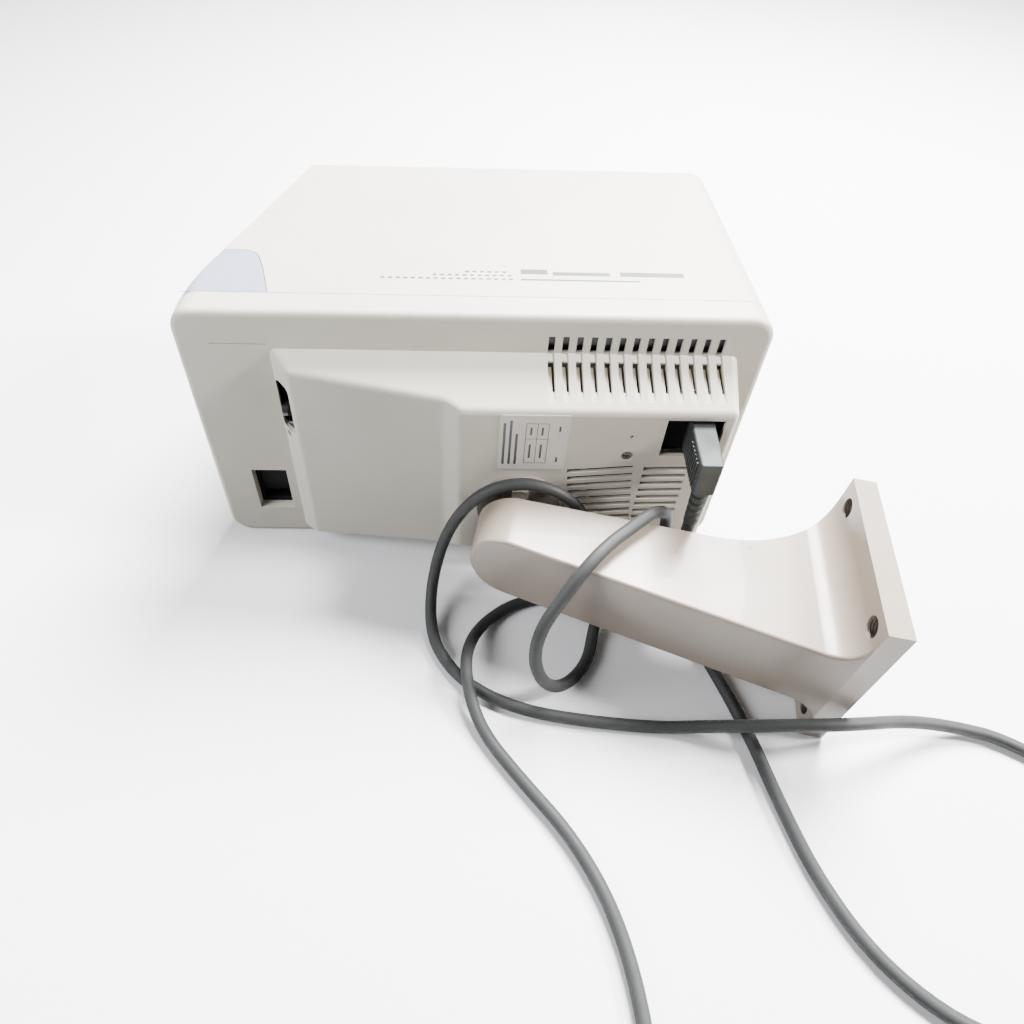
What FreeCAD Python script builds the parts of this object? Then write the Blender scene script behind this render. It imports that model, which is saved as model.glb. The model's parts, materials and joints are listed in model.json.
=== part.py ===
import FreeCAD, Part
import math
import os
import Sketcher

from FreeCAD import Placement, Rotation, Vector

# Chart projector lying on its side, with its wall arm and its mains lead.
#
# Lengths are millimetres and angles degrees. Everything is drawn in a working frame:
#   x  along the body, from the window (-) to the mains inlet (+), 0 at mid length
#   y  from the body's underside (0) to its top (+)
#   z  up from the table (0); the body's width is its height here
# frame_x and frame_y then move every node into the row frame, whose origin is
# under the middle of the object without its lead.
DIMENSIONS = {
    "frame_x": 32.87,
    "frame_y": 17.55,
    "body_length": 340,
    "body_width": 182,
    "body_height": 195,
    "corner_round": 14,
    "wall": 2.5,
    "tray_depth": 19.5,
    "rim_round": 4,
    "seam_gap": 0.5,
    "nose_rake": 0.3,
    # hump of the underside that carries the swivel
    "hump_front": -118,
    "hump_rear": 151,
    "ramp_start": 13,
    "ramp_end": 27,
    "plateau": 33,
    "step_start": -18,
    "step_end": -8,
    "hump_high": 158,
    "hump_low": 8,
    "hump_slope": 0.5,
    "ridge_round": 5,
    # air slots
    "vent_count": 13,
    "vent_first": 43.8,
    "vent_pitch": 8.1,
    "vent_width": 4,
    "louvre_rows": 8,
    "louvre_pitch": 6.15,
    "louvre_height": 3.2,
    "louvre_top": 96,
    # mains inlet and power switch
    "inlet_x": 110.5,
    "inlet_z": 109.6,
    "inlet_length": 33.5,
    "inlet_width": 27.2,
    "switch_x": -146,
    "switch_z": 24.5,
    "switch_length": 23,
    "switch_width": 36.5,
    "rocker_y": 13,
    # optical axis, along x
    "axis_y": 42,
    "axis_z": 91,
    "tube_radius": 24,
    "barrel_radius": 20,
    "running_gap": 0.05,
    "lever_x": -112,
    "lever_angle": 30,
    "chart_radius": 44,
    "mask_radius": 34,
    # swivel and arm
    "pivot_x": 29.4,
    "pivot_z": 66.21,
    "tilt_axis_y": -42,
    "tilt_now": -10.9,
    "pan_now": 3.5,
    "turntable_radius": 26,
    "shaft_radius": 9,
    "arm_length": 201.5,
    "arm_half": 23.6,
    "arm_far": -9,
    "arm_near": -45,
    "plate_thick": 13.5,
    "plate_near": -80.7,
    "plate_far": 29.7,
    "plate_half": 54,
    "bolt_spacing": 84,
    "bolt_radius": 3.3,
    "counterbore_radius": 6,
    "counterbore_depth": 7,
    # mains lead
    "cord_radius": 3.75,
    "connector_x": 130,
    "connector_z": 122.8,
    "coil_x": 120,
    "coil_y": -362,
    "coil_radius": 41,
    "coil_height": 24,
    "tie_thick": 0.6,
    "tail_y": -403,
    "mains_plug_x": 197,
    "mains_plug_z": 12,
}

doc = FreeCAD.newDocument("chart_projector")
sheet = doc.addObject("Spreadsheet::Sheet", "dims")
for row, (alias, value) in enumerate(DIMENSIONS.items(), start=1):
    sheet.set(f"A{row}", alias)
    sheet.set(f"B{row}", str(value))
    sheet.setAlias(f"B{row}", alias)
doc.recompute()

X, Y, Z = Vector(1, 0, 0), Vector(0, 1, 0), Vector(0, 0, 1)
ALONG_X, ALONG_Z = Rotation(Z, X), Rotation()
parts = []


def dim(alias):
    """One driving dimension, as a number."""
    return float(getattr(sheet, alias))


# ---------------------------------------------------------------- bound objects


def formula(text):
    """A formula of driving dimensions, with each name pointing at the sheet."""
    words = []
    for word in str(text).replace("(", "( ").replace(")", " )").split():
        words.append(f"dims.{word}" if word in DIMENSIONS else word)
    return " ".join(words)


def bind(thing, **formulas):
    for name, text in formulas.items():
        thing.setExpression(name, formula(text))


def put(thing, x, y, z, turn=ALONG_Z):
    """Place an object whose base point is given in the working frame."""
    thing.Placement = Placement(Vector(), turn)
    thing.setExpression("Placement.Base.x", formula(f"{x} - frame_x"))
    thing.setExpression("Placement.Base.y", formula(f"{y} - frame_y"))
    thing.setExpression("Placement.Base.z", formula(z))
    return thing


def box(name, low, size):
    thing = doc.addObject("Part::Box", name)
    bind(thing, Length=size[0], Width=size[1], Height=size[2])
    return put(thing, *low)


def rod(name, base, radius, length, turn):
    thing = doc.addObject("Part::Cylinder", name)
    bind(thing, Radius=radius, Height=length)
    return put(thing, *base, turn)


def cut(name, base, tool):
    thing = doc.addObject("Part::Cut", name)
    thing.Base = base
    thing.Tool = tool
    return thing


def fuse(name, *shapes):
    thing = doc.addObject("Part::MultiFuse", name)
    thing.Shapes = list(shapes)
    thing.Refine = True
    return thing


def node(thing, label=None):
    """Hand an object in as a sub-part under its own label."""
    thing.Label = label or thing.Name
    parts.append(thing)
    return thing


def feature(label, shape, pose=None):
    """A sub-part whose shape is made in the working frame, or in a frame of its own with a pose."""
    thing = doc.addObject("Part::Feature", label)
    thing.Shape = shape
    base = pose or Placement()
    shift = Placement(Vector(-dim("frame_x"), -dim("frame_y"), 0), Rotation())
    thing.Placement = shift.multiply(base)
    return node(thing)


# ---------------------------------------------------------------- shape helpers


def rounded_wire(points, radii):
    """A closed flat outline with an arc of its own radius at each corner; 0 keeps a corner sharp."""
    count = len(points)
    starts, ends, edges = [], [], []
    for i, corner in enumerate(points):
        to_last = (points[i - 1] - corner).normalize()
        to_next = (points[(i + 1) % count] - corner).normalize()
        half = to_last.getAngle(to_next) / 2
        reach = radii[i] / math.tan(half) if radii[i] else 0
        starts.append(corner + to_last * reach)
        ends.append(corner + to_next * reach)
        if radii[i]:
            middle = corner + (to_last + to_next).normalize() * (radii[i] / math.sin(half) - radii[i])
            edges.append(Part.Arc(starts[i], middle, ends[i]).toShape())
    for i in range(count):
        tail = starts[(i + 1) % count]
        if (tail - ends[i]).Length > 1e-6:
            edges.append(Part.LineSegment(ends[i], tail).toShape())
    return Part.Wire(Part.__sortEdges__(edges))


def prism(points, radii, along):
    return Part.Face(rounded_wire(points, radii)).extrude(along)


def block(low, high):
    return Part.makeBox(*(high - low), low)


def cylinder(radius, length, base, axis):
    return Part.makeCylinder(radius, length, base, axis)


def rim_block(inset, y0, y1):
    """The body's outline, pulled in by inset, from y0 to y1."""
    half = dim("body_length") / 2 - inset
    low, high = inset, dim("body_width") - inset
    corners = [Vector(-half, y0, low), Vector(half, y0, low), Vector(half, y0, high), Vector(-half, y0, high)]
    radius = dim("corner_round") - inset
    return prism(corners, [radius] * 4, Y * (y1 - y0))


def flat_edges(shape, y):
    """The edges that lie wholly at one height y."""
    return [e for e in shape.Edges if abs(e.BoundBox.YMin - y) < 1e-4 and abs(e.BoundBox.YMax - y) < 1e-4]


# ---------------------------------------------------------------- case


def hump(inset):
    """The raised part of the underside, smaller by inset on every side."""
    front, rear = dim("hump_front") + inset, dim("hump_rear") - inset
    side = [
        Vector(front, 1, 0),
        Vector(front + 11, inset - dim("ramp_start"), 0),
        Vector(dim("step_start"), inset - dim("ramp_end"), 0),
        Vector(dim("step_end"), inset - dim("plateau"), 0),
        Vector(rear, inset - dim("plateau"), 0),
        Vector(rear + 2, 1, 0),
    ]
    solid = prism(side, [0, 6, 10, 8, 4, 0], Z * dim("body_width"))
    slope, reach = dim("hump_slope"), 60
    high, low = dim("hump_high") - inset, dim("hump_low") + inset
    top = [
        Vector(-200, 1, high + slope),
        Vector(-200, -reach, high - slope * reach),
        Vector(-200, -reach, 300),
        Vector(-200, 1, 300),
    ]
    bottom = [
        Vector(-200, 1, low - slope),
        Vector(-200, -reach, low + slope * reach),
        Vector(-200, -reach, -100),
        Vector(-200, 1, -100),
    ]
    for wedge in (top, bottom):
        solid = solid.cut(prism(wedge, [0] * 4, X * 400))
    return solid


def ridge_edges(solid):
    """Edges where the hump's upper slanted wall meets its outer faces."""
    boxes = [(e, e.BoundBox) for e in solid.Edges]
    return [e for e, b in boxes if b.ZMin > 120 and b.YMin < -10 and b.YMax < -5 and b.XLength > 3]


def vent_cuts():
    """Upright slots in the flat band, and below each a groove with a hooked slit in the slanted wall."""
    cuts = []
    half = dim("vent_width") / 2
    groove = [Vector(0, 0.5, 157.4), Vector(0, -27, 144.5), Vector(0, -20, 160), Vector(0, 0.5, 162)]
    for i in range(int(dim("vent_count"))):
        x = dim("vent_first") + dim("vent_pitch") * i
        cuts.append(block(Vector(x - half, -1, 158.6), Vector(x + half, 4, 169)))
        cuts.append(block(Vector(x - half, -5, 134), Vector(x + half, -2, 154.2)))
        cuts.append(block(Vector(x + 0.4, -21, 134), Vector(x + half, -4.5, 154.2)))
        deep = [groove[1], Vector(0, -4, 152.2), Vector(0, -4, 162), groove[2]]
        cuts.append(prism([p + X * (x - half) for p in deep], [0] * 4, X * 2 * half))
        shallow = [groove[0], Vector(0, -5, 154.9), Vector(0, -5, 162), groove[3]]
        cuts.append(prism([p + X * (x - half) for p in shallow], [0] * 4, X * 2 * half))
    return cuts


def vent_backing():
    """Thickening inside the slanted wall that the grooves end in."""
    first = dim("vent_first") - 6
    last = dim("vent_first") + dim("vent_pitch") * (dim("vent_count") - 1) + 6
    profile = ((-23.5, 143.5), (-3, 150.5), (-3, 156))
    return prism([Vector(first, y, z) for y, z in profile], [0] * 3, X * (last - first))


def louvre(x, z, length, tilt):
    """One slot through the plateau, tilted about its left end."""
    slot = block(Vector(0, -40, 0), Vector(length, -26, dim("louvre_height")))
    slot.rotate(Vector(), Y, -tilt)
    slot.translate(Vector(x, 0, z))
    return slot


def louvre_cuts():
    cuts = []
    for i in range(int(dim("louvre_rows"))):
        z = dim("louvre_top") - dim("louvre_pitch") * i
        cuts.append(louvre(57.5 + 0.7 * i, z - 2, 40, 5.5))
        cuts.append(louvre(103.5, z + 0.5, 27, 2.5))
    return cuts


def screw_places():
    """The case screw in the plateau: x and z of each one."""
    return [(91.5, 108.9)]


def swivel_screw_places():
    """The four screws of the swivel's turntable: x and z of each."""
    turns = [math.radians(a) for a in (45, 135, 225, 315)]
    return [(dim("pivot_x") + math.cos(a) * 20, dim("pivot_z") + math.sin(a) * 20) for a in turns]


def slot_cut(x):
    """Slot with round ends, cut through along y."""
    low, high = 102, 138
    outline = ((-5, low), (4, low), (4, high), (-5, high))
    return prism([Vector(x + dx, -30, z) for dx, z in outline], [3.5] * 4, Y * 35)


def make_bottom_case():
    wall = dim("wall")
    outer = rim_block(0, 0, dim("tray_depth") - dim("seam_gap"))
    outer = outer.makeFillet(dim("rim_round"), flat_edges(outer, 0))
    raised = hump(0)
    raised = raised.makeFillet(dim("ridge_round"), ridge_edges(raised))
    envelope = outer.fuse(raised).removeSplitter()
    shell = envelope.cut(rim_block(wall, wall, dim("tray_depth") + 5)).cut(hump(wall))
    # bosses that the chassis plate stands on
    bosses = [cylinder(3.5, 36, Vector(x, -30, z), Y) for x in (-92, 156) for z in (17, 164)]
    # collar that the power switch sits behind
    x, z = dim("switch_x"), dim("switch_z")
    end = Vector(x + dim("switch_length") + wall, 7, z + dim("switch_width") + wall)
    collar = block(Vector(x - wall, 1, z - wall), end)
    inner = Part.makeCompound(bosses + [vent_backing(), collar]).common(envelope)
    shell = shell.fuse(inner).removeSplitter()
    tools = vent_cuts() + louvre_cuts()
    x, z = dim("inlet_x"), dim("inlet_z")
    tools.append(block(Vector(x, -40, z), Vector(x + dim("inlet_length"), -20, z + dim("inlet_width"))))
    x, z = dim("switch_x"), dim("switch_z")
    tools.append(block(Vector(x, -5, z), Vector(x + dim("switch_length"), 8, z + dim("switch_width"))))
    # slot of the focus lever, in the hump's front wall
    x = dim("lever_x")
    tools.append(slot_cut(x))
    # groove at the edge of the sunk panel
    tools.append(block(Vector(-150, -1, 160.4), Vector(-118, 0.6, 161.2)))
    for x, z in screw_places():
        tools.append(cylinder(2.2, 20, Vector(x, -40, z), Y))
        tools.append(cylinder(3.6, 8.5, Vector(x, -39.5, z), Y))
    tools.append(cylinder(1.2, 20, Vector(91.8, -40, 124), Y))
    for x, z in swivel_screw_places():
        tools.append(cylinder(2.0, 20, Vector(x, -40, z), Y))
    return shell.cut(Part.makeCompound(tools)).removeSplitter()


def fascia_outline(grow):
    """Side profile of the window cap, from the seam up over its rounded brow."""
    y0 = dim("tray_depth") - grow
    return [
        Vector(-176, y0, 0),
        Vector(-117 + grow, y0, 0),
        Vector(-125 + grow, 48, 0),
        Vector(-132 + grow, 66 + grow, 0),
        Vector(-176, 66 + grow, 0),
    ], [0, 0, 30, 12, 0]


def fascia_zone(grow):
    points, radii = fascia_outline(grow)
    solid = prism(points, radii, Z * 300)
    solid.translate(Vector(0, 0, -50))
    return solid


def upper_body(inset):
    """Everything above the seam: the body's outline with a raked nose and rounded top edges."""
    top = dim("body_height") - inset
    seam = dim("tray_depth")
    solid = rim_block(inset, seam, top)
    front = -dim("body_length") / 2 + 4.5 + inset
    rake = dim("nose_rake")
    rise = 200
    ahead = [
        Vector(front, seam - 1, -50),
        Vector(front + rake * rise, seam - 1 + rise, -50),
        Vector(-300, seam - 1 + rise, -50),
        Vector(-300, seam - 1, -50),
    ]
    solid = solid.cut(prism(ahead, [0] * 4, Z * 300))
    return solid.makeFillet(max(9 - inset, 2), flat_edges(solid, top))


def make_top_cover():
    shell = upper_body(0).cut(upper_body(dim("wall")))
    inner = rim_block(dim("wall"), dim("tray_depth") - 1, dim("tray_depth") + 4)
    shell = shell.cut(inner)
    shell = shell.cut(fascia_zone(dim("seam_gap")))
    # rear air slots
    slots = []
    for i in range(9):
        z = 55 + 9 * i
        slots.append(block(Vector(150, 130, z), Vector(180, 170, z + 4)))
    return shell.cut(Part.makeCompound(slots)).removeSplitter()


def window_place():
    """Low and high corners of the opening in the cap's raked face."""
    return Vector(-180, 25, 56), Vector(-140, 58, 126)


def make_fascia():
    low, high = window_place()
    shell = upper_body(0).common(fascia_zone(0)).cut(upper_body(dim("wall")))
    return shell.cut(block(low, high)).removeSplitter()


def make_window():
    low, high = window_place()
    gap = Vector(0, 0.2, 0.2)
    pane = upper_body(0.8).cut(upper_body(dim("wall")))
    return pane.common(block(low + gap, high - gap))


feature("bottom_case", make_bottom_case())
feature("top_cover", make_top_cover())
feature("front_fascia", make_fascia())
feature("projection_window", make_window())
node(box("rating_label", ("15", "0 - plateau - 0.25", "97.5"), ("40", "0.25", "42")))


def make_case_screws():
    """Pan-head screws with a cross recess, sunk in the plateau."""
    screws = []
    for x, z in screw_places():
        head = cylinder(3.2, 1.4, Vector(x, -32.4, z), Y)
        shank = cylinder(2.0, 12, Vector(x, -31, z), Y)
        screw = head.fuse(shank)
        for turn in (0, 90):
            slit = block(Vector(-2.2, -33, -0.5), Vector(2.2, -31.6, 0.5))
            slit.rotate(Vector(), Y, turn)
            slit.translate(Vector(x, 0, z))
            screw = screw.cut(slit)
        screws.append(screw)
    return Part.makeCompound(screws)


feature("case_screws", make_case_screws())

# ---------------------------------------------------------------- chassis and electrics


def origin_plane(body, role):
    return next(f for f in body.Origin.OriginFeatures if f.Role == role)


def sketch_on(body, role, name):
    sketch = body.newObject("Sketcher::SketchObject", name)
    sketch.AttachmentSupport = [(origin_plane(body, role), "")]
    sketch.MapMode = "FlatFace"
    return sketch


def sketch_rectangle(sketch, low, high):
    """A closed rectangle of four lines, joined at its corners."""
    (x0, y0), (x1, y1) = low, high
    corners = [Vector(x0, y0), Vector(x1, y0), Vector(x1, y1), Vector(x0, y1)]
    first = sketch.GeometryCount
    for i in range(4):
        sketch.addGeometry(Part.LineSegment(corners[i], corners[(i + 1) % 4]), False)
    for i in range(4):
        sketch.addConstraint(Sketcher.Constraint("Coincident", first + i, 2, first + (i + 1) % 4, 1))


def sketch_circle(sketch, centre, radius):
    sketch.addGeometry(Part.Circle(Vector(centre[0], centre[1]), Z, radius), False)


def make_chassis():
    """Folded steel plate that the works stand on, with a hole for the fan and for the lever."""
    body = doc.addObject("PartDesign::Body", "chassis_plate")
    outline = sketch_on(body, "XY_Plane", "chassis_outline")
    sketch_rectangle(outline, (-100, 12), (160, 170))
    plate = body.newObject("PartDesign::Pad", "chassis_pad")
    plate.Profile = outline
    plate.Length = 1.5
    doc.recompute()
    holes = sketch_on(body, "XY_Plane", "chassis_holes")
    sketch_circle(holes, (81, 76), 27)
    sketch_rectangle(holes, (105, 104), (150, 142))
    pocket = body.newObject("PartDesign::Pocket", "chassis_cuts")
    pocket.Profile = holes
    pocket.Type = 1
    pocket.Reversed = True
    body.Tip = pocket
    # the sketch's up direction is the projector's width
    return node(put(body, "0", "7.5", "0", Rotation(X, 90)))


make_chassis()


def lamp_unit():
    """Lamp house with its lamp, socket, reflector, heat filter and condenser, on the optical axis."""
    outer = box("lamp_house_outer", ("60", "axis_y - 30", "axis_z - 30"), ("52", "60", "60"))
    inner = box("lamp_house_inner", ("61.5", "axis_y - 28.5", "axis_z - 28.5"), ("49", "57", "57"))
    port = rod("lamp_house_port", ("55", "axis_y", "axis_z"), "16", "60", ALONG_X)
    node(cut("lamp_house", outer, fuse("lamp_house_hollow", inner, port)))
    bulb = rod("bulb_glass", ("84", "axis_y", "axis_z"), "6", "16", ALONG_X)
    tip = doc.addObject("Part::Sphere", "bulb_tip")
    bind(tip, Radius="6")
    put(tip, "84", "axis_y", "axis_z")
    node(fuse("halogen_lamp", bulb, tip))
    disc = rod("socket_base", ("100", "axis_y", "axis_z"), "11", "10", ALONG_X)
    foot = box("socket_foot", ("100", "axis_y - 27", "axis_z - 6"), ("10", "20", "12"))
    node(fuse("lamp_socket", disc, foot))
    node(box("heat_filter", ("56", "axis_y - 15", "axis_z - 15"), ("3", "30", "30")))


def turned(name, points):
    """A lathe-turned piece on the optical axis: points are distance along x and radius."""
    body = doc.addObject("PartDesign::Body", name)
    sketch = sketch_on(body, "XY_Plane", f"{name}_profile")
    corners = [Vector(*p) for p in points]
    for i, corner in enumerate(corners):
        sketch.addGeometry(Part.LineSegment(corner, corners[(i + 1) % len(corners)]), False)
    spin = body.newObject("PartDesign::Revolution", f"{name}_turned")
    spin.Profile = sketch
    spin.ReferenceAxis = (origin_axis(body, "X_Axis"), [""])
    spin.Angle = 360
    body.Tip = spin
    return body


def origin_axis(body, role):
    return next(f for f in body.Origin.OriginFeatures if f.Role == role)


lamp_unit()
bowl = [(0, 7), (6, 14), (16, 20), (20, 24), (20, 25.2), (15.4, 21.2), (5, 15), (-1, 8)]
reflector = turned("lamp_reflector", bowl)
node(put(reflector, "98", "axis_y", "axis_z", Rotation(Z, 180)))
condenser = turned("condenser_lens", [(0, 0), (0, 18), (3, 18), (6, 14), (8, 8), (8.6, 0)])
node(put(condenser, "44", "axis_y", "axis_z"))


def wheel_unit(name, x, radius, drop):
    """A motor with a wheel of openings on its shaft; the wheel's rim crosses the optical axis."""
    centre = (f"axis_y + {drop}", "axis_z")
    blank = rod(f"{name}_blank", (x, *centre), radius, "2", ALONG_X)
    holes = [rod(f"{name}_bore", (f"{x} - 1", *centre), "3", "4", ALONG_X)]
    count = 12
    for i in range(count):
        turn = 2 * math.pi * i / count - math.pi / 2
        y = f"axis_y + {drop} + {drop} * {math.sin(turn):.6f}"
        z = f"axis_z + {drop} * {math.cos(turn):.6f}"
        holes.append(rod(f"{name}_opening_{i}", (f"{x} - 1", y, z), "5", "4", ALONG_X))
    node(cut(f"{name}_wheel", blank, fuse(f"{name}_openings", *holes)))
    shaft = rod(f"{name}_shaft_rod", (f"{x} - 3", *centre), "3", "16", ALONG_X)
    collar = rod(f"{name}_collar", (f"{x} + 2", *centre), "6", "3", ALONG_X)
    node(fuse(f"{name}_shaft", shaft, collar))
    can = rod(f"{name}_can", (f"{x} + 7", *centre), "17", "20", ALONG_X)
    bore = rod(f"{name}_can_bore", (f"{x} + 6", *centre), "3 + running_gap", "9", ALONG_X)
    node(cut(f"{name}_motor", can, bore))


wheel_unit("chart", "24", "chart_radius", "36")
wheel_unit("mask", "-12", "mask_radius", "26")


def lens_unit():
    """Fixed tube, sliding barrel with its lens, and the focus ring with its lever."""
    outer = rod("tube_outer", ("-118", "axis_y", "axis_z"), "tube_radius", "90", ALONG_X)
    bore = rod("tube_bore", ("-119", "axis_y", "axis_z"), "barrel_radius + running_gap", "92", ALONG_X)
    saddle = box("tube_saddle", ("-96", "7.5", "axis_z - 14"), ("60", "14", "28"))
    node(cut("lens_tube", fuse("tube_and_saddle", outer, saddle), bore))
    sleeve = rod("barrel_outer", ("-110", "axis_y", "axis_z"), "barrel_radius", "60", ALONG_X)
    hollow = rod("barrel_hollow", ("-111", "axis_y", "axis_z"), "17", "62", ALONG_X)
    node(cut("lens_barrel", sleeve, hollow))
    node(rod("objective_lens", ("-106", "axis_y", "axis_z"), "17", "7", ALONG_X))
    ring = rod("ring_outer", ("lever_x - 3.5", "axis_y", "axis_z"), "30", "7", ALONG_X)
    start = ("lever_x - 4.5", "axis_y", "axis_z")
    ring_bore = rod("ring_bore", start, "tube_radius + running_gap", "9", ALONG_X)
    node(cut("focus_ring", ring, ring_bore))
    lean = math.radians(dim("lever_angle"))
    out = Vector(0, -math.cos(lean), math.sin(lean))
    side = Vector(0, math.sin(lean), math.cos(lean))
    middle = Vector(dim("lever_x") - 1.5, dim("axis_y"), dim("axis_z"))
    inner, outer_end = middle + out * 29.5, middle + out * 61
    corners = [inner + side * 5, outer_end + side * 3.5, outer_end - side * 3.5, inner - side * 5]
    blade = prism(corners, [0, 2.5, 2.5, 0], X * 3)
    ring_space = cylinder(30, 20, Vector(dim("lever_x") - 10, dim("axis_y"), dim("axis_z")), X)
    feature("focus_lever", blade.cut(ring_space))


lens_unit()


def fan_unit():
    """Cooling fan behind the plateau's slots: square frame, and a hub with seven blades."""
    x, z, half = 81, 76, 25
    frame = block(Vector(x - half, -29, z - half), Vector(x + half, -14, z + half))
    frame = frame.cut(cylinder(23, 30, Vector(x, -35, z), Y))
    for sx in (-1, 1):
        for sz in (-1, 1):
            frame = frame.cut(cylinder(1.7, 30, Vector(x + 21.5 * sx, -35, z + 21.5 * sz), Y))
    spider = block(Vector(x - half + 1, -16, z - 2), Vector(x + half - 1, -14, z + 2))
    pin = cylinder(1.5, 11, Vector(x, -26, z), Y)
    cup = cylinder(8, 2, Vector(x, -16, z), Y)
    feature("fan_frame", frame.fuse([spider, cup, pin]).removeSplitter())
    hub = cylinder(9, 10, Vector(x, -27.5, z), Y).cut(cylinder(1.55, 12, Vector(x, -28, z), Y))
    blades = []
    for i in range(7):
        blade = block(Vector(8, -27, -0.6), Vector(22, -18, 0.6))
        blade.rotate(Vector(15, -22.5, 0), X, 35)
        blade.rotate(Vector(), Y, 360 * i / 7)
        blade.translate(Vector(x, 0, z))
        blades.append(blade)
    return feature("fan_rotor", hub.fuse(blades).removeSplitter())


fan_unit()


def contacts(grow, length):
    """The three flat contacts of the mains inlet, or their slots in the connector when grown."""
    pins = []
    for x, z in ((-1, -7), (-1, 7), (3.8, 0)):
        foot = Vector(dim("connector_x") + x, -11, dim("connector_z") + z)
        pins.append(block(foot - Vector(2 + grow, length, 1 + grow), foot + Vector(2 + grow, 0, 1 + grow)))
    return pins


def power_unit():
    """Transformer, circuit board on its posts, mains inlet and power switch."""
    core = box("transformer_core", ("114", "7.5", "18"), ("40", "44", "34"))
    coil = box("transformer_winding", ("121", "14", "12"), ("26", "31", "46"))
    node(fuse("transformer", core, coil))
    node(box("main_board", ("-100", "140", "20"), ("170", "1.6", "142")))
    posts = []
    for x in (-94, 64):
        for z in (26, 156):
            posts.append(cylinder(3, 132.5, Vector(x, 7.5, z), Y))
    feature("board_posts", Part.makeCompound(posts))
    low = ("inlet_x + 0.3", "-27", "inlet_z + 0.3")
    body = box("inlet_body", low, ("inlet_length - 0.6", "22", "inlet_width - 0.6"))
    mouth = box("inlet_mouth", ("connector_x - 5.5", "-28", "connector_z - 11"), ("14", "17", "22"))
    node(cut("inlet_socket", body, mouth))
    feature("inlet_pins", Part.makeCompound(contacts(0, 11)))
    low = ("switch_x - 1.5", "7.2", "switch_z - 1.5")
    shell = box("switch_shell", low, ("switch_length + 3", "16", "switch_width + 3"))
    low = ("switch_x + 2", "7", "switch_z + 4")
    well = box("switch_well", low, ("switch_length - 4", "12.4", "switch_width - 8"))
    low = ("switch_x", "rocker_y", "switch_z + switch_width / 2")
    bore = rod("switch_bore", low, "1.5 + running_gap", "30", ALONG_X)
    node(cut("switch_housing", shell, fuse("switch_hollow", well, bore)))


power_unit()


def make_rocker():
    """Rocker key: two faces that meet in a shallow valley over its pivot."""
    x = dim("switch_x") + 2.6
    z = dim("switch_z") + dim("switch_width") / 2
    half = dim("switch_width") / 2 - 5.2
    y = dim("rocker_y")
    outline = ((-0.6, -half), (-3.2, 0), (-3.6, half), (2, half - 1), (3, 1 - half))
    corners = [Vector(x, y + dy, z + dz) for dy, dz in outline]
    width = dim("switch_length") - 5.2
    pin = cylinder(1.5, width + 3, Vector(x - 1.5, dim("rocker_y"), z), X)
    return prism(corners, [1, 0, 1, 1, 1], X * width).fuse(pin).removeSplitter()


feature("switch_rocker", make_rocker())

# ---------------------------------------------------------------- swivel


def swivel_ears():
    """Turntable screwed to the plateau, with two ears that hold the tilt pin."""
    x, z, top = dim("pivot_x"), dim("pivot_z"), -dim("plateau")
    axis = dim("tilt_axis_y")
    disc = cylinder(dim("turntable_radius"), 3.5, Vector(x, top - 3.5, z), Y)
    ears = []
    for side in (-1, 1):
        base = z + side * 15 - 3
        web = block(Vector(x - 5, axis, base), Vector(x + 5, top - 3, base + 6))
        ears.append(web.fuse(cylinder(5, 6, Vector(x, axis, base), Z)))
    base = disc.fuse(ears)
    base = base.cut(cylinder(2.5, 60, Vector(x, axis, z - 30), Z))
    for sx, sz in swivel_screw_places():
        base = base.cut(cylinder(2.2, 10, Vector(sx, top - 6, sz), Y))
    return base.removeSplitter()


def swivel_screws():
    screws = []
    for x, z in swivel_screw_places():
        head = cylinder(3.4, 1.2, Vector(x, -dim("plateau") - 4.7, z), Y)
        screws.append(head.fuse(cylinder(2.0, 10, Vector(x, -dim("plateau") - 3.6, z), Y)))
    return Part.makeCompound(screws)


def arm_pose():
    """Pose of the arm and the tilt block: turned about the tilt pin, then swung about the pan axis."""
    base = Vector(dim("pivot_x"), dim("tilt_axis_y"), dim("pivot_z"))
    tilt = Rotation(Z, dim("tilt_now"))
    pan = Rotation(Y, dim("pan_now"))
    return Placement(base, tilt.multiply(pan))


def tilt_pose():
    base = Vector(dim("pivot_x"), dim("tilt_axis_y"), dim("pivot_z"))
    return Placement(base, Rotation(Z, dim("tilt_now")))


feature("swivel_base", swivel_ears())
feature("swivel_screws", swivel_screws())
pin_base = ("pivot_x", "tilt_axis_y", "pivot_z - 20.8")
pin_rod = rod("tilt_pin_rod", pin_base, "2.5", "38.8", ALONG_Z)
pin_head = rod("tilt_pin_head", pin_base, "4", "2.8", ALONG_Z)
node(fuse("tilt_pin", pin_rod, pin_head))


def make_tilt_block():
    """Barrel round the tilt pin with the flange that the arm turns against. Own frame: origin on the pin."""
    far = dim("arm_far")
    barrel = cylinder(4.6, 23.6, Vector(0, 0, -11.8), Z)
    neck = block(Vector(-4.6, far + 3, -11.8), Vector(4.6, 0, 11.8))
    flange = cylinder(18, 3, Vector(0, far + 0.3, 0), Y)
    solid = barrel.fuse([neck, flange])
    return solid.cut(cylinder(2.5 + dim("running_gap"), 40, Vector(0, 0, -20), Z)).removeSplitter()


def make_pivot_shaft():
    far = dim("arm_far") + 0.3
    stem = cylinder(dim("shaft_radius"), 24, Vector(0, far, 0), -Y)
    groove = cylinder(12, 4, Vector(0, far - 14, 0), -Y).cut(cylinder(7.5, 4, Vector(0, far - 14, 0), -Y))
    return stem.cut(groove)


feature("tilt_block", make_tilt_block(), tilt_pose())
feature("pivot_shaft", make_pivot_shaft(), tilt_pose())

# ---------------------------------------------------------------- wall arm


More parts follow.
